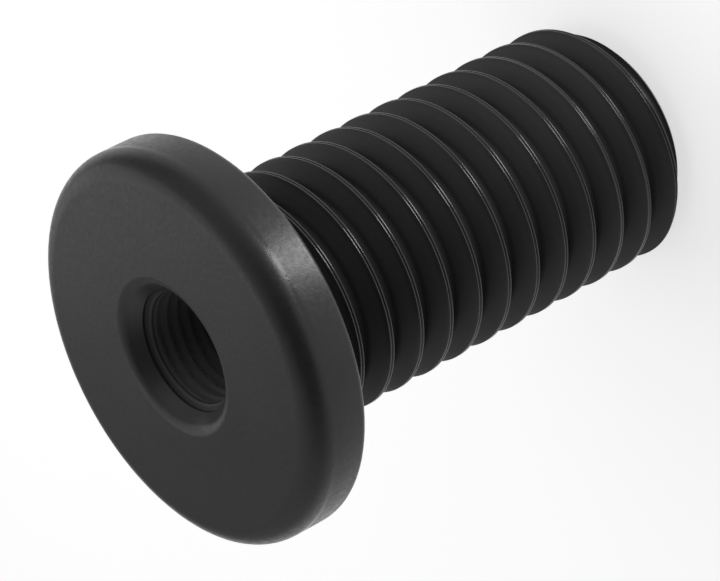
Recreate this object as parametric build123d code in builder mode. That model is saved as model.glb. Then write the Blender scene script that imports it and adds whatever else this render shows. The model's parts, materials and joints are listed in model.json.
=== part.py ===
"""Threaded stud: a turned steel stud with a flat round head, an outside thread and a tapped hole in the head.

Millimetres. +Z points out of the head's face. The origin is on the axis, in the plane of the head's seat,
so the head stands above that plane and the threaded shank hangs below it.
"""

import os
from math import radians, tan

from build123d import *

# Head: a flat disc with a soft front rim and a broken back edge.
head_d = 16.0
head_thickness = 2.6
front_rim_r = 1.0
back_rim_break = 0.15

# Shank: a coarse right-hand metric thread, M10 x 1.5, from the tip up to an undercut below the head.
thread_d = 10.0
thread_pitch = 1.5
thread_angle = 60.0
shank_length = 19.9

# Metric thread form, as shares of the pitch: the flat left on the crest and the flat at the root.
crest_flat_share = 1 / 8
root_flat_share = 1 / 6

# Undercut: how much deeper than the thread's root it is, and the room it leaves on each side of the cutter.
undercut_relief = 0.08
undercut_room = 0.18
seat_corner_r = 0.4

# Tip: a bevel that runs down to just inside the thread's root, to start the thread in a nut.
tip_relief = 0.03
tip_bevel_angle = 45.0

# Tapped hole in the head: M5 x 0.5, drilled blind. A short lead-in at the thread's full width keeps
# the first turn below the head's face, and its mouth is softened.
tap_d = 5.0
tap_pitch = 0.5
drilled_depth = 12.0
drill_point_angle = 118.0
lead_in_depth = 0.7
mouth_r = 0.55

# The thread cutter stands out of the blank by its flanks' overhang and by a straight collar above them.
cutter_overhang = 0.1
cutter_collar = 0.3

# Thread groove, seen in a plane through the axis: straight flanks on a flat root.
flank_slope = tan(radians(thread_angle / 2))
thread_r = thread_d / 2
root_half = root_flat_share * thread_pitch / 2
mouth_half = (1 - crest_flat_share) * thread_pitch / 2
root_r = thread_r - (mouth_half - root_half) / flank_slope
cutter_r = thread_r + cutter_overhang
cutter_half = mouth_half + cutter_overhang * flank_slope

# Undercut and tip follow the thread's root.
undercut_r = root_r - undercut_relief
undercut_width = 2 * (cutter_half + undercut_room)
tip_face_r = root_r - tip_relief
tip_bevel_height = (thread_r - tip_face_r) / tan(radians(tip_bevel_angle))

# The hole is drilled to the tapping size and its lead-in to the thread's width. Each drill leaves the
# cone of its point below its full-width depth.
drill_r = (tap_d - tap_pitch) / 2
lead_in_r = tap_d / 2
drill_point_slope = tan(radians(drill_point_angle / 2))

# The groove starts below the tip and ends in the middle of the undercut, both in the open.
groove_start_z = -shank_length - thread_pitch
groove_end_z = -undercut_width / 2

with BuildPart() as threaded_stud:
    # Turned blank: half of its outline, from the head's face down to the tip.
    with BuildSketch(Plane.XZ) as blank_section:
        with BuildLine() as blank_outline:
            Polyline(
                (0, head_thickness),
                (head_d / 2, head_thickness),
                (head_d / 2, 0),
                (undercut_r, 0),
                (undercut_r, -undercut_width),
                (thread_r, -undercut_width),
                (thread_r, tip_bevel_height - shank_length),
                (tip_face_r, -shank_length),
                (0, -shank_length),
                close=True,
            )
        make_face()
    revolve(axis=Axis.Z)

    # Of the flat faces square to the axis, the head's face is the highest and its seat is the next.
    seat, head_face = threaded_stud.faces().filter_by(Plane.XY).sort_by(Axis.Z)[-2:]
    seat_corner, back_rim = seat.edges().sort_by(SortBy.RADIUS)

    # The corner between seat and undercut is rounded, the back rim is broken and the front rim is soft.
    fillet(seat_corner, radius=seat_corner_r)
    chamfer(back_rim, length=back_rim_break)
    fillet(head_face.edges(), radius=front_rim_r)

    # Blind hole at the tapping size, then its wider lead-in, each with its drill's cone at the bottom.
    for hole_r, hole_depth in ((drill_r, drilled_depth), (lead_in_r, lead_in_depth)):
        with Locations(Plane.XY.offset(head_thickness)):
            Hole(radius=hole_r, depth=hole_depth)
        with Locations(Plane.XY.offset(head_thickness - hole_depth)):
            Cone(
                bottom_radius=0,
                top_radius=hole_r,
                height=hole_r / drill_point_slope,
                align=(Align.CENTER, Align.CENTER, Align.MAX),
                mode=Mode.SUBTRACT,
            )

    # Softened mouth where the lead-in meets the head's face.
    head_face = threaded_stud.faces().sort_by(Axis.Z)[-1]
    fillet(head_face.edges().sort_by(SortBy.RADIUS)[0], radius=mouth_r)

    # Outside thread: one right-hand groove, swept up the shank from below the tip.
    with BuildLine(Plane.XY.offset(groove_start_z)) as groove_path:
        Helix(pitch=thread_pitch, height=groove_end_z - groove_start_z, radius=thread_r)
    with BuildSketch(Plane.XZ.shift_origin((0, 0, groove_start_z))) as groove_section:
        with BuildLine() as groove_outline:
            Polyline(
                (root_r, root_half),
                (root_r, -root_half),
                (cutter_r, -cutter_half),
                (cutter_r + cutter_collar, -cutter_half),
                (cutter_r + cutter_collar, cutter_half),
                (cutter_r, cutter_half),
                close=True,
            )
        make_face()
    sweep(path=groove_path.line, is_frenet=True, mode=Mode.SUBTRACT)

threaded_stud.part.label = "threaded_stud"

os.makedirs("parts", exist_ok=True)
export_step(threaded_stud.part, "parts/threaded_stud.step")
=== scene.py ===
"""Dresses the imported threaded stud: turned steel with a satin black oxide finish.

The frame's axes hold: +Z points out of the head's face, and the head's seat lies at z = 0.
The visual stud repeats the solid's sizes and adds what the solid leaves out: the outside thread's
rounded root and rolled crest, softer edges, and the fine thread inside the head's hole.
It is modelled in millimetres, because edit tools merge what is under a micrometre apart,
and the finished mesh is scaled to metres.
"""

import json
from math import cos, pi, radians, sin, tan

import bmesh
import bpy
from mathutils import Euler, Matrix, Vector


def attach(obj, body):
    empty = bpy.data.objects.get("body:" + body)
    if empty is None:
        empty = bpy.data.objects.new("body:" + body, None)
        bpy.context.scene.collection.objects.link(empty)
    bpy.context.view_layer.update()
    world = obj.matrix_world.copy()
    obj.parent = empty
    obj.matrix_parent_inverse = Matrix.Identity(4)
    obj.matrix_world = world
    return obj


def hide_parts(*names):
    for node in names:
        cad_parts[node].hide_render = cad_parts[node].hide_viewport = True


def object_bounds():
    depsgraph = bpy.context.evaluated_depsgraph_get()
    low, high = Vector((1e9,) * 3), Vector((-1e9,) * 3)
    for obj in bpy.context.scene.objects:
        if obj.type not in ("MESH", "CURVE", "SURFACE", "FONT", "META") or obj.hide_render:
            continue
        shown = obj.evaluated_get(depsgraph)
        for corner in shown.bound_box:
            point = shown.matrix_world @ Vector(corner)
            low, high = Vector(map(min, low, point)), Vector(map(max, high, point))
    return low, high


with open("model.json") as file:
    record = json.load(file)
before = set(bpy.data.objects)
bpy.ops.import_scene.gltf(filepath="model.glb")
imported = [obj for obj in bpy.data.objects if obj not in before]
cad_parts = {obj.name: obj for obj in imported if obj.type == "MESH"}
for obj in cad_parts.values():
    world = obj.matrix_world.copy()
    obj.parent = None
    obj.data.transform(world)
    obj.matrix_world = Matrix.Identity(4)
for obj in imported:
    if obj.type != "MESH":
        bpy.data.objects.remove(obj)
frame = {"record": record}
cad_low, cad_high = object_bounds()

MM = 0.001

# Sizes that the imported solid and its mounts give, in millimetres.
mounts = {mount["name"]: mount for mount in frame["record"]["mounts"]}
head_r = min(-cad_low.x, cad_high.x, -cad_low.y, cad_high.y) / MM
head_top = cad_high.z / MM
tip_z = cad_low.z / MM
thread_r = mounts["stud_thread"]["dims"]["r_mm"]
thread_length = mounts["stud_thread"]["dims"]["length_mm"]
drill_r = mounts["tapped_hole"]["dims"]["r_mm"]

# Head: a soft front rim, and a back edge that is just rounded.
front_rim_r = 1.0
back_rim_r = 0.3
seat_corner_r = 0.4

# Outside thread: M10 x 1.5. Crest flat an eighth of the pitch, root fully rounded.
# It is rolled: the metal that rises from both flanks leaves a seam along the crest, between two lips.
# Towards the tip the seam closes.
thread_pitch = 1.5
thread_flank = radians(30)
crest_half = thread_pitch / 16
root_half = thread_pitch / 12
root_r = thread_r - (thread_pitch / 2 - crest_half - root_half) / tan(thread_flank)
lip_r = 0.045
seam_half = 0.04
seam_depth = 0.05
seam_closes_over = 5 * thread_pitch
thread_top = tip_z + thread_length

# The solid's groove passes through the +X side of the axis at this height, and so does this one.
groove_height = tip_z - thread_pitch

# Undercut and tip: the neck is a little deeper than the root, and the bevel ends just inside it.
neck_r = root_r - 0.08
neck_overlap = 0.7
tip_face_r = root_r - 0.03
tip_bevel = radians(45)

# Hole: drilled to the tapping size, with a wider lead-in whose floor is the cone of the drill's point.
# Its mouth is a steep countersink with a soft outer edge.
drill_point = radians(118 / 2)
drilled_depth = 12.0
lead_in_r = 2.5
lead_in_depth = 0.75
lead_in_floor = head_top - lead_in_depth - (lead_in_r - drill_r) / tan(drill_point)
ledge_edge = 0.05
mouth_width = 0.47
mouth_height = 0.65
mouth_edge = 0.28

# Thread in the hole: M5 x 0.5, from just below the ledge down to above the drill's point. Its grooves
# are drawn shallow and wide, because the finish fills them and they hardly show.
tap_r = 2.33
tap_pitch = 0.5
tap_flank = radians(55)
tap_crest_half = tap_pitch / 16
tap_root_r = drill_r - 0.05
tap_top = lead_in_floor - 0.11
tap_bottom = head_top - 9.5
tap_passes_x = 1.0

# Facets round one turn of each round form.
head_facets = 192
thread_facets = 120
tap_facets = 120

# Edges that turn by less than this are shaded smooth.
smooth_angle = radians(28)

# A mix node's sockets go by number, because their names repeat: the share, the two numbers or the
# two colours that it mixes, and the mixed number or colour that comes out.
SHARE = 0
NUMBER_A, NUMBER_B, MIXED_NUMBER = 2, 3, 0
COLOUR_A, COLOUR_B, MIXED_COLOUR = 6, 7, 2


def deselect_all():
    if bpy.context.mode != "OBJECT":
        bpy.ops.object.mode_set(mode="OBJECT")
    bpy.ops.object.select_all(action="DESELECT")


def edit(piece):
    """Opens one piece in edit mode with nothing selected."""
    deselect_all()
    bpy.context.view_layer.objects.active = piece
    piece.select_set(True)
    bpy.ops.object.mode_set(mode="EDIT")
    bpy.ops.mesh.select_all(action="DESELECT")


def select(piece, kind, test):
    """In edit mode, selects the piece's verts, edges or faces that pass the test."""
    bpy.ops.mesh.select_mode(type=kind)
    mesh = bmesh.from_edit_mesh(piece.data)
    elements = {"VERT": mesh.verts, "EDGE": mesh.edges, "FACE": mesh.faces}[kind]
    for element in elements:
        element.select = False
    for element in elements:
        if test(element):
            element.select = True
    mesh.select_flush_mode()
    bmesh.update_edit_mesh(piece.data)


def radius(point):
    return Vector((point.x, point.y)).length


def on_ring(edge, ring_r, height, slack=0.01):
    """True for an edge that is part of the circle of that radius at that height."""
    return all(
        abs(radius(vert.co) - ring_r) < slack and abs(vert.co.z - height) < slack
        for vert in edge.verts
    )


def add_cylinder(name, cylinder_r, low, high, facets):
    deselect_all()
    bpy.ops.mesh.primitive_cylinder_add(
        vertices=facets,
        radius=cylinder_r,
        depth=high - low,
        location=(0, 0, (low + high) / 2),
    )
    piece = bpy.context.object
    piece.name = name
    bpy.ops.object.transform_apply(location=True, rotation=True, scale=True)
    return piece


def add_modifier(piece, kind, **settings):
    """Adds a modifier and applies it."""
    deselect_all()
    bpy.context.view_layer.objects.active = piece
    piece.select_set(True)
    modifier = piece.modifiers.new(kind.lower(), kind)
    for setting, value in settings.items():
        setattr(modifier, setting, value)
    bpy.ops.object.modifier_apply(modifier=modifier.name)


def combine(piece, tool, operation):
    """Joins, cuts or trims a piece with a tool, which is then thrown away."""
    add_modifier(piece, "BOOLEAN", object=tool, operation=operation, solver="EXACT")
    bpy.data.objects.remove(tool)


def draw_profile(name, points):
    """Draws a chain of edges on the +X side through points given as radius and height."""
    first_r, first_z = points[0]
    deselect_all()
    bpy.ops.mesh.primitive_plane_add(size=0.1, location=(first_r, 0, first_z))
    profile = bpy.context.object
    profile.name = name
    bpy.ops.object.transform_apply(location=True, rotation=True, scale=True)
    bpy.ops.object.mode_set(mode="EDIT")
    bpy.ops.mesh.select_all(action="SELECT")
    bpy.ops.mesh.merge(type="CENTER")
    bpy.ops.mesh.select_mode(type="VERT")
    bpy.ops.mesh.select_all(action="SELECT")
    here = Vector((first_r, 0, first_z))
    for point_r, point_z in points[1:]:
        there = Vector((point_r, 0, point_z))
        step = there - here
        bpy.ops.mesh.extrude_vertices_move(TRANSFORM_OT_translate={"value": step})
        here = there
    return profile


def round_corners(profile, corner_r, offset, segments):
    """Rounds the corners of a drawn profile that lie at one radius, its two ends apart."""
    select(
        profile,
        "VERT",
        lambda vert: abs(vert.co.x - corner_r) < 0.001 and len(vert.link_edges) == 2,
    )
    bpy.ops.mesh.bevel(affect="VERTICES", offset=offset, segments=segments, profile=0.5)


def screw_up(profile, pitch, turns, facets, low, high):
    """Screws a profile up the axis and trims the thread square at both ends."""
    bpy.ops.object.mode_set(mode="OBJECT")
    add_modifier(
        profile,
        "SCREW",
        axis="Z",
        angle=2 * pi,
        screw_offset=pitch,
        iterations=turns,
        steps=facets,
        render_steps=facets,
        use_smooth_shade=True,
    )
    edit(profile)
    bpy.ops.mesh.select_all(action="SELECT")
    bpy.ops.mesh.remove_doubles(threshold=0.0005)
    for height, keep_up in ((low, True), (high, False)):
        bpy.ops.mesh.select_all(action="SELECT")
        bpy.ops.mesh.bisect(
            plane_co=(0, 0, height),
            plane_no=(0, 0, 1),
            use_fill=True,
            clear_inner=keep_up,
            clear_outer=not keep_up,
            threshold=0.00001,
        )
    bpy.ops.mesh.select_all(action="SELECT")
    bpy.ops.mesh.normals_make_consistent(inside=False)
    bpy.ops.object.mode_set(mode="OBJECT")
    return profile


def turn_head():
    """The head, turned from a disc: neck drawn out below it and both rims rounded."""
    head = add_cylinder("head", head_r, 0, head_top, head_facets)
    edit(head)
    select(head, "FACE", lambda face: face.normal.z < -0.9)
    bpy.ops.mesh.inset(thickness=head_r - neck_r)
    neck_end = thread_top - neck_overlap
    bpy.ops.mesh.extrude_region_move(
        TRANSFORM_OT_translate={"value": (0, 0, neck_end)}
    )
    select(head, "EDGE", lambda edge: on_ring(edge, head_r, head_top))
    bpy.ops.mesh.bevel(offset=front_rim_r, segments=14, profile=0.5)
    select(head, "EDGE", lambda edge: on_ring(edge, head_r, 0))
    bpy.ops.mesh.bevel(offset=back_rim_r, segments=5, profile=0.5)
    select(head, "EDGE", lambda edge: on_ring(edge, neck_r, 0))
    bpy.ops.mesh.bevel(offset=seat_corner_r, segments=6, profile=0.5)
    bpy.ops.object.mode_set(mode="OBJECT")
    return head


def close_seam(shank, seam_r, bands=10):
    """Lifts the bottom of the crest's seam, more in each band towards the tip, until it is flush."""
    edit(shank)
    band = seam_closes_over / bands
    for step in range(-1, bands):
        low = tip_z + step * band
        select(
            shank,
            "VERT",
            lambda vert: abs(radius(vert.co) - seam_r) < 0.001
            and low <= vert.co.z < low + band,
        )
        closed = 1 - max(step, 0) / bands
        grown = 1 + closed * seam_depth / seam_r
        bpy.ops.transform.resize(value=(grown, grown, 1), center_override=(0, 0, 0))
    bpy.ops.object.mode_set(mode="OBJECT")


def screw_outside_thread():
    """The threaded shank: rounded root, rolled crest, square at the neck and bevelled at the tip."""
    # One pitch of the outline, from the middle of one crest to the middle of the next.
    start = groove_height - thread_pitch / 2 - thread_pitch
    end = start + thread_pitch
    seam_r = thread_r - seam_depth
    profile = draw_profile(
        "shank",
        [
            (seam_r, start),
            (thread_r, start + seam_half),
            (thread_r, start + crest_half),
            (root_r, start + thread_pitch / 2 - root_half),
            (root_r, end - thread_pitch / 2 + root_half),
            (thread_r, end - crest_half),
            (thread_r, end - seam_half),
            (seam_r, end),
        ],
    )
    # The root's two corners are rounded until they almost meet.
    root_rounding = 0.99 * root_half
    lip_rounding = lip_r * tan(thread_flank)
    round_corners(profile, root_r, offset=root_rounding, segments=6)
    round_corners(profile, thread_r, offset=lip_rounding, segments=4)
    turns = int((thread_top - start) / thread_pitch) + 2
    below_tip = tip_z - 0.4
    shank = screw_up(
        profile, thread_pitch, turns, thread_facets, below_tip, thread_top
    )
    close_seam(shank, seam_r)

    # What lies inside this cone and the cylinder on it is kept, which bevels the tip.
    bevel_height = (head_r - tip_face_r) / tan(tip_bevel)
    deselect_all()
    bpy.ops.mesh.primitive_cone_add(
        vertices=head_facets,
        radius1=tip_face_r,
        radius2=head_r,
        depth=bevel_height,
        location=(0, 0, tip_z + bevel_height / 2),
    )
    envelope = bpy.context.object
    bpy.ops.object.transform_apply(location=True, rotation=True, scale=True)
    edit(envelope)
    select(envelope, "FACE", lambda face: face.normal.z > 0.9)
    bpy.ops.mesh.extrude_region_move(
        TRANSFORM_OT_translate={"value": (0, 0, -tip_z)}
    )
    bpy.ops.object.mode_set(mode="OBJECT")
    combine(shank, envelope, "INTERSECT")
    return shank


def drill_and_tap(stud):
    """Drills the blind hole and its lead-in, countersinks the mouth and cuts the fine thread below."""
    above_head = head_top + 1
    for hole_r, hole_depth in ((drill_r, drilled_depth), (lead_in_r, lead_in_depth)):
        bottom = head_top - hole_depth
        drill = add_cylinder("drill", hole_r, bottom, above_head, thread_facets)
        edit(drill)
        select(drill, "FACE", lambda face: face.normal.z < -0.9)
        bpy.ops.mesh.extrude_region_move(
            TRANSFORM_OT_translate={"value": (0, 0, -hole_r / tan(drill_point))}
        )
        bpy.ops.mesh.merge(type="CENTER")
        bpy.ops.object.mode_set(mode="OBJECT")
        combine(stud, drill, "DIFFERENCE")

    # The cuts leave points that almost coincide, which would spoil the bevels.
    edit(stud)
    bpy.ops.mesh.select_all(action="SELECT")
    bpy.ops.mesh.remove_doubles(threshold=0.003)
    bpy.ops.mesh.dissolve_degenerate(threshold=0.003)
    select(stud, "EDGE", lambda edge: on_ring(edge, lead_in_r, head_top))
    bpy.ops.mesh.bevel(offset=mouth_width, segments=1)
    select(stud, "EDGE", lambda edge: on_ring(edge, lead_in_r, head_top - mouth_width))
    bpy.ops.transform.translate(value=(0, 0, mouth_width - mouth_height))
    select(stud, "EDGE", lambda edge: on_ring(edge, lead_in_r + mouth_width, head_top))
    bpy.ops.mesh.bevel(offset=mouth_edge, segments=6, profile=0.5)
    select(stud, "EDGE", lambda edge: on_ring(edge, drill_r, lead_in_floor))
    bpy.ops.mesh.bevel(offset=ledge_edge, segments=3, profile=0.5)
    bpy.ops.object.mode_set(mode="OBJECT")

    # One pitch of the tap's outline, from the middle of one tooth to the middle of the next.
    turns_down = int((tap_passes_x - tap_bottom) / tap_pitch) + 2
    start = tap_passes_x - turns_down * tap_pitch
    end = start + tap_pitch
    crest_foot = tap_crest_half + (tap_r - tap_root_r) * tan(tap_flank)
    profile = draw_profile(
        "tap",
        [
            (tap_r, start),
            (tap_r, start + tap_crest_half),
            (tap_root_r, start + crest_foot),
            (tap_root_r, end - crest_foot),
            (tap_r, end - tap_crest_half),
            (tap_r, end),
        ],
    )
    turns = turns_down + int((tap_top - tap_passes_x) / tap_pitch) + 2
    tap = screw_up(profile, tap_pitch, turns, tap_facets, tap_bottom, tap_top)
    combine(stud, tap, "DIFFERENCE")


def finish_mesh(stud):
    """Cleans the cut edges, brings the mesh to metres and shades it smooth between true edges."""
    edit(stud)
    bpy.ops.mesh.select_all(action="SELECT")
    bpy.ops.mesh.remove_doubles(threshold=0.001)
    bpy.ops.mesh.dissolve_degenerate(threshold=0.0005)
    bpy.ops.mesh.select_all(action="SELECT")
    bpy.ops.mesh.normals_make_consistent(inside=False)
    bpy.ops.object.mode_set(mode="OBJECT")
    stud.scale = (MM, MM, MM)
    bpy.ops.object.transform_apply(location=True, rotation=True, scale=True)
    bpy.ops.object.shade_smooth_by_angle(angle=smooth_angle)
    add_modifier(stud, "WEIGHTED_NORMAL", mode="FACE_AREA", keep_sharp=True)


def linear(hex_colour):
    """An sRGB hex colour as the linear colour that a socket takes."""
    shares = [int(hex_colour[i : i + 2], 16) / 255 for i in (1, 3, 5)]
    return [
        share / 12.92 if share <= 0.04045 else ((share + 0.055) / 1.055) ** 2.4
        for share in shares
    ] + [1]


def new_material(name):
    material = bpy.data.materials.new(name)
    material.use_nodes = True
    material.node_tree.nodes.clear()
    return material


def add_node(material, kind, inputs=None, **settings):
    """Adds a node with its settings. Each of its inputs is a plain value or the socket that feeds it."""
    node = material.node_tree.nodes.new(kind)
    for setting, value in settings.items():
        setattr(node, setting, value)
    for socket, source in (inputs or {}).items():
        if isinstance(source, bpy.types.NodeSocket):
            material.node_tree.links.new(source, node.inputs[socket])
        else:
            node.inputs[socket].default_value = source
    return node


def share_of_place(material, *limits):
    """How much a point belongs to a place: 1 inside all its limits, fading to 0 across each of them.

    A limit is the socket of a length, with the millimetres at which its own share is 0 and is 1.
    """
    share = 1.0
    for length, zero_at, one_at in limits:
        fade = add_node(
            material,
            "ShaderNodeMapRange",
            {"Value": length, "From Min": zero_at * MM, "From Max": one_at * MM},
        )
        both = add_node(
            material,
            "ShaderNodeMath",
            {0: share, 1: fade.outputs["Result"]},
            operation="MULTIPLY",
        )
        share = both.outputs["Value"]
    return share


def places_on_stud(material, from_axis, height):
    """The shares of the places whose finish differs, told by distance from the axis and by height."""
    # On the shank, but not on the tip's bevel and face.
    below_head = (height, -0.1, -0.3)
    above_bevel = (height, tip_z + 0.1, tip_z + 1.0)

    # In the hole, but not on the tip's face, which lies as near to the axis.
    mouth_r = lead_in_r + mouth_width
    in_hole = (
        (from_axis, mouth_r, mouth_r - 0.2),
        (height, head_top, head_top - 0.15),
        (height, tip_z + 1.0, tip_z + 1.1),
    )
    mouth_foot = head_top - mouth_height
    shoulder = head_top - front_rim_r - 0.05
    places = {
        "between_threads": (
            (from_axis, thread_r - 0.05, thread_r - 0.2),
            below_head,
            above_bevel,
        ),
        "in_root": ((from_axis, root_r + 0.3, root_r + 0.12), below_head, above_bevel),
        "in_mouth": in_hole,
        "down_hole": (*in_hole, (height, mouth_foot + 0.02, mouth_foot - 0.02)),
        "on_ledge_rim": (
            (from_axis, drill_r + 0.14, drill_r + 0.09),
            (height, lead_in_floor - 0.06, lead_in_floor - 0.02),
        ),
        "on_crest": ((from_axis, thread_r - 0.03, thread_r - 0.015), below_head),
        "on_shoulder": (
            (from_axis, head_r - 0.06, head_r - 0.03),
            (height, shoulder - 0.15, shoulder),
            (height, shoulder + 0.15, shoulder),
        ),
    }
    return {
        place: share_of_place(material, *limits) for place, limits in places.items()
    }


def painted_light_down_hole(material, height, facing_up):
    """Painted light down the hole: paler where the surface faces down into shade, darker where it faces up
    towards the light from the mouth.
    """
    # Painted light: the paler colour stands in for light that the down-facing surfaces don't get.
    upward = add_node(
        material,
        "ShaderNodeMapRange",
        {"Value": facing_up, "From Min": -1.0, "From Max": 1.0},
    )
    painted_lift_by_facing = add_node(
        material, "ShaderNodeValToRGB", {"Fac": upward.outputs["Result"]}
    )
    stops = painted_lift_by_facing.color_ramp.elements
    stops.new(0.5)
    tones = ((0.22, "#a0a0a0"), (0.5, "#666666"), (0.78, "#404040"))
    for stop, (position, hex_colour) in zip(stops, tones):
        stop.position = position
        stop.color = linear(hex_colour)

    # From the mouth down to the ledge the colour is painted light: the slope is painted paler to lift its
    # shade, and the ledge, the only part that faces up enough, is painted darker where light from the
    # mouth falls on it.
    painted_shade_on_ledge = add_node(
        material,
        "ShaderNodeMapRange",
        {"Value": facing_up, "From Min": 0.6, "From Max": 0.85},
    )
    near_mouth = add_node(
        material,
        "ShaderNodeMix",
        {
            SHARE: painted_shade_on_ledge.outputs["Result"],
            COLOUR_A: linear("#353535"),
            COLOUR_B: linear("#1c1c1c"),
        },
        data_type="RGBA",
    )
    below_ledge = share_of_place(
        material, (height, lead_in_floor - 0.02, lead_in_floor - 0.1)
    )
    hole_tone = add_node(
        material,
        "ShaderNodeMix",
        {
            SHARE: below_ledge,
            COLOUR_A: near_mouth.outputs[MIXED_COLOUR],
            COLOUR_B: painted_lift_by_facing.outputs["Color"],
        },
        data_type="RGBA",
    )
    return hole_tone.outputs[MIXED_COLOUR]


def blackened_steel():
    """Black oxide on turned steel, tumbled to a satin and oiled.

    The oxide is a thin dark skin that hides the steel: it scatters a little light and reflects less
    than glass does. Tumbling leaves it satin and mottled, and polishes what stands out: the lips of
    the thread's crest and the shoulder between the head's wall and its soft rim. It doesn't reach
    between the threads or down the hole, where the oxide stays rough and dull. There the colour is
    painted paler, as painted light that lifts the shade in these hollows.
    The screw that goes in and out of the hole rubs the rim of the ledge inside it.
    """
    material = new_material("blackened_steel")
    coordinates = add_node(material, "ShaderNodeTexCoord")
    spot = coordinates.outputs["Object"]

    # The tone drifts slowly over the stud, and a fine mottle varies its gloss and its relief.
    drift_width = 3.0
    mottle_width = 0.22
    mottle_height = 0.012
    drift = add_node(
        material,
        "ShaderNodeTexNoise",
        {"Vector": spot, "Scale": 1 / (drift_width * MM), "Detail": 3.0, "Roughness": 0.55},
    )
    mottle = add_node(
        material,
        "ShaderNodeTexNoise",
        {"Vector": spot, "Scale": 1 / (mottle_width * MM), "Detail": 2.0, "Roughness": 0.6},
    )
    tone = add_node(material, "ShaderNodeValToRGB", {"Fac": drift.outputs["Fac"]})
    darker, paler = tone.color_ramp.elements
    darker.position = 0.3
    darker.color = linear("#252525")
    paler.position = 0.7
    paler.color = linear("#2a2a2a")
    satin = add_node(
        material,
        "ShaderNodeMapRange",
        {
            "Value": mottle.outputs["Fac"],
            "From Min": 0.3,
            "From Max": 0.7,
            "To Min": 0.27,
            "To Max": 0.4,
        },
    )

    # Where on the stud a point lies: its distance from the axis, its height and how far it faces up.
    across = add_node(
        material, "ShaderNodeVectorMath", {0: spot, 1: (1, 1, 0)}, operation="MULTIPLY"
    )
    from_axis = add_node(
        material, "ShaderNodeVectorMath", {0: across.outputs["Vector"]}, operation="LENGTH"
    ).outputs["Value"]
    height = add_node(material, "ShaderNodeSeparateXYZ", {0: spot}).outputs["Z"]
    facing_up = add_node(
        material, "ShaderNodeSeparateXYZ", {0: coordinates.outputs["Normal"]}
    ).outputs["Z"]
    shares = places_on_stud(material, from_axis, height)

    tumbled = tone.outputs["Color"]
    # Painted light: between the threads and in the hole the colour is paler than the stud's own, to lift
    # the shade in these hollows.
    painted_lift_in_hollows = add_node(
        material,
        "ShaderNodeMix",
        {
            SHARE: shares["in_mouth"],
            COLOUR_A: linear("#303030"),
            COLOUR_B: painted_light_down_hole(material, height, facing_up),
        },
        data_type="RGBA",
    ).outputs[MIXED_COLOUR]

    # Each place in turn, with its colour, its roughness and how strongly it mirrors.
    colour = tumbled
    roughness = satin.outputs["Result"]
    mirror = 0.5
    for place, local_colour, local_roughness, local_mirror in (
        ("between_threads", painted_lift_in_hollows, 0.5, 0.5),
        ("in_root", tumbled, 0.85, 0.2),
        ("in_mouth", painted_lift_in_hollows, 0.33, 0.55),
        ("down_hole", painted_lift_in_hollows, 0.45, 0.3),
        ("on_ledge_rim", tumbled, 0.4, 0.45),
        ("on_crest", tumbled, 0.14, 0.75),
        ("on_shoulder", tumbled, 0.18, 0.5),
    ):
        share = shares[place]
        colour = add_node(
            material,
            "ShaderNodeMix",
            {SHARE: share, COLOUR_A: colour, COLOUR_B: local_colour},
            data_type="RGBA",
        ).outputs[MIXED_COLOUR]
        roughness = add_node(
            material,
            "ShaderNodeMix",
            {SHARE: share, NUMBER_A: roughness, NUMBER_B: local_roughness},
            data_type="FLOAT",
        ).outputs[MIXED_NUMBER]
        mirror = add_node(
            material,
            "ShaderNodeMix",
            {SHARE: share, NUMBER_A: mirror, NUMBER_B: local_mirror},
            data_type="FLOAT",
        ).outputs[MIXED_NUMBER]
    relief = add_node(
        material,
        "ShaderNodeBump",
        {
            "Height": mottle.outputs["Fac"],
            "Strength": 0.6,
            "Distance": mottle_height * MM,
        },
    )
    shader = add_node(
        material,
        "ShaderNodeBsdfPrincipled",
        {
            "Base Color": colour,
            "Roughness": roughness,
            "Specular IOR Level": mirror,
            "Normal": relief.outputs["Normal"],
            "Metallic": 0.0,
            "IOR": 1.35,
        },
    )
    add_node(material, "ShaderNodeOutputMaterial", {"Surface": shader.outputs["BSDF"]})
    return material


def pale_paper():
    """Smooth white paper under the stud. It looks white, and keeps a soft shadow where the stud stands."""
    material = new_material("pale_paper")
    paper = add_node(material, "ShaderNodeBsdfDiffuse", {"Color": linear("#cbcbcb")})

    # It glows a little where the camera sees it, straight or in a reflection, and lights nothing else.
    glow_strength = 0.62
    path = add_node(material, "ShaderNodeLightPath")
    seen = add_node(
        material,
        "ShaderNodeMath",
        {0: path.outputs["Is Camera Ray"], 1: path.outputs["Is Glossy Ray"]},
        operation="ADD",
    )
    seen_at_all = add_node(
        material,
        "ShaderNodeMath",
        {0: seen.outputs["Value"], 1: path.outputs["Is Transmission Ray"]},
        operation="ADD",
        use_clamp=True,
    )
    lift = add_node(
        material,
        "ShaderNodeMath",
        {0: seen_at_all.outputs["Value"], 1: glow_strength},
        operation="MULTIPLY",
    )
    glow = add_node(
        material, "ShaderNodeEmission", {"Strength": lift.outputs["Value"]}
    )
    both = add_node(
        material,
        "ShaderNodeAddShader",
        {0: paper.outputs["BSDF"], 1: glow.outputs["Emission"]},
    )
    add_node(material, "ShaderNodeOutputMaterial", {"Surface": both.outputs["Shader"]})
    return material


def lay_floor():
    floor_half = 1.5
    deselect_all()
    bpy.ops.mesh.primitive_plane_add(size=2 * floor_half, location=(0, 0, cad_low.z))
    floor = bpy.context.object
    floor.name = "floor"
    bpy.ops.object.transform_apply(location=True, rotation=True, scale=True)
    floor.data.materials.append(pale_paper())


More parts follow.
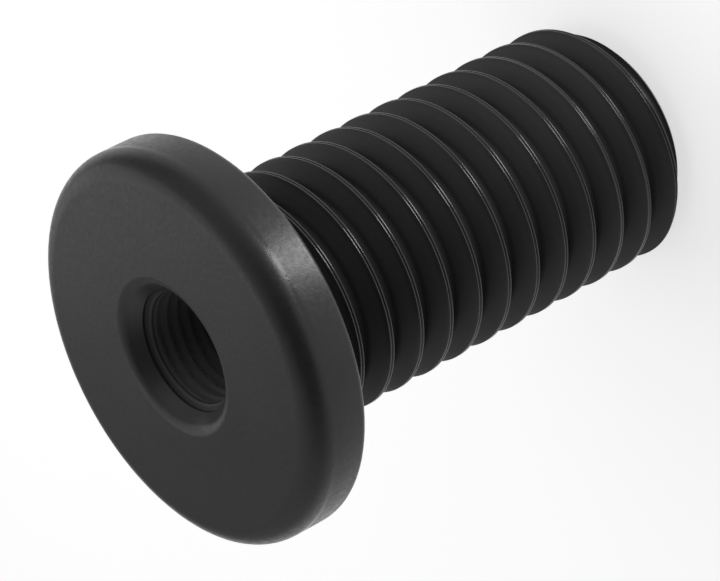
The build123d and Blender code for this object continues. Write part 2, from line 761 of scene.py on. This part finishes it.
def paint_room():
    """A white room, dark where the photographer stands and dimmer behind the soft box."""
    photographer = Vector((0.2, 0.83, 0.52)).normalized()
    world = bpy.data.worlds.new("white_room")
    bpy.context.scene.world = world
    world.use_nodes = True
    world.node_tree.nodes.clear()
    look = add_node(world, "ShaderNodeTexCoord")
    toward = add_node(
        world,
        "ShaderNodeVectorMath",
        {0: look.outputs["Generated"], 1: photographer},
        operation="DOT_PRODUCT",
    )
    share = add_node(
        world,
        "ShaderNodeMapRange",
        {"Value": toward.outputs["Value"], "From Min": -1.0, "From Max": 1.0},
    )
    level = add_node(world, "ShaderNodeValToRGB", {"Fac": share.outputs["Result"]})
    walls = ((-0.5, 0.3), (0.0, 0.68), (0.35, 0.75), (0.65, 0.5), (0.85, 0.1), (1.0, 0.04))
    stops = level.color_ramp.elements
    while len(stops) < len(walls):
        stops.new(1.0)
    for stop, (facing, brightness) in zip(stops, walls):
        stop.position = (facing + 1) / 2
        stop.color = (brightness, brightness, brightness, 1)
    light = add_node(world, "ShaderNodeBackground", {"Color": level.outputs["Color"]})
    add_node(world, "ShaderNodeOutputWorld", {"Surface": light.outputs["Background"]})


def hang_lamp(name, place, aim, width, height, brightness):
    """A soft box of light, in millimetres, as bright as so many white walls."""
    lamp = bpy.data.objects.new(name, bpy.data.lights.new(name, "AREA"))
    bpy.context.scene.collection.objects.link(lamp)
    lamp.data.shape = "RECTANGLE"
    lamp.data.size = width * MM
    lamp.data.size_y = height * MM
    lamp.data.energy = pi * brightness * width * height * MM**2
    lamp.location = place * MM
    lamp.rotation_mode = "QUATERNION"
    lamp.rotation_quaternion = (aim - place).to_track_quat("-Z", "Y")
    lamp.visible_camera = False


def around(turn, lift, reach, centre=(0, 0, 0)):
    """The point that lies so many degrees round and up from a centre, at that reach in millimetres."""
    flat = reach * cos(radians(lift))
    step = (flat * cos(radians(turn)), flat * sin(radians(turn)), reach * sin(radians(lift)))
    return Vector(centre) + Vector(step)


def light_the_table():
    """The room, a large soft box behind the stud and a long one low down in front of it."""
    paint_room()
    hang_lamp(
        "back_box",
        place=around(turn=-112, lift=42, reach=70),
        aim=Vector((0, 0, 2)),
        width=57,
        height=87,
        brightness=0.85,
    )
    hang_lamp(
        "low_box",
        place=around(turn=114, lift=0, reach=29.5, centre=(0, 0, -14.5)),
        aim=around(turn=114, lift=0, reach=22.7, centre=(0, 0, 4.3)),
        width=8.5,
        height=27,
        brightness=12.5,
    )


def place_camera():
    """The photograph's view: near the head, a little above it, with the camera turned on its side."""
    aim = Vector((1.18, -0.98, -6.88)) * MM
    distance = 166.15 * MM
    azimuth = radians(-171.24)
    elevation = radians(32.95)
    roll = radians(-117.47)
    away = Vector(
        (
            sin(azimuth) * cos(elevation),
            -cos(azimuth) * cos(elevation),
            sin(elevation),
        )
    )
    camera = bpy.data.objects.new("camera", bpy.data.cameras.new("camera"))
    bpy.context.scene.collection.objects.link(camera)
    camera.data.sensor_width = 36
    camera.data.lens = 215.87
    camera.data.clip_start = 0.01
    camera.data.clip_end = 10
    camera.location = aim + away * distance
    upright = (-away).to_track_quat("-Z", "Y")
    camera.rotation_mode = "QUATERNION"
    camera.rotation_quaternion = upright @ Euler((0, 0, roll)).to_quaternion()
    bpy.context.scene.camera = camera


bpy.context.scene.view_settings.view_transform = "Standard"

stud = turn_head()
combine(stud, screw_outside_thread(), "UNION")
drill_and_tap(stud)
finish_mesh(stud)
stud.name = "blackened_stud"
stud.data.materials.clear()
stud.data.materials.append(blackened_steel())
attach(stud, "root")
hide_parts("threaded_stud")

lay_floor()
light_the_table()
place_camera()
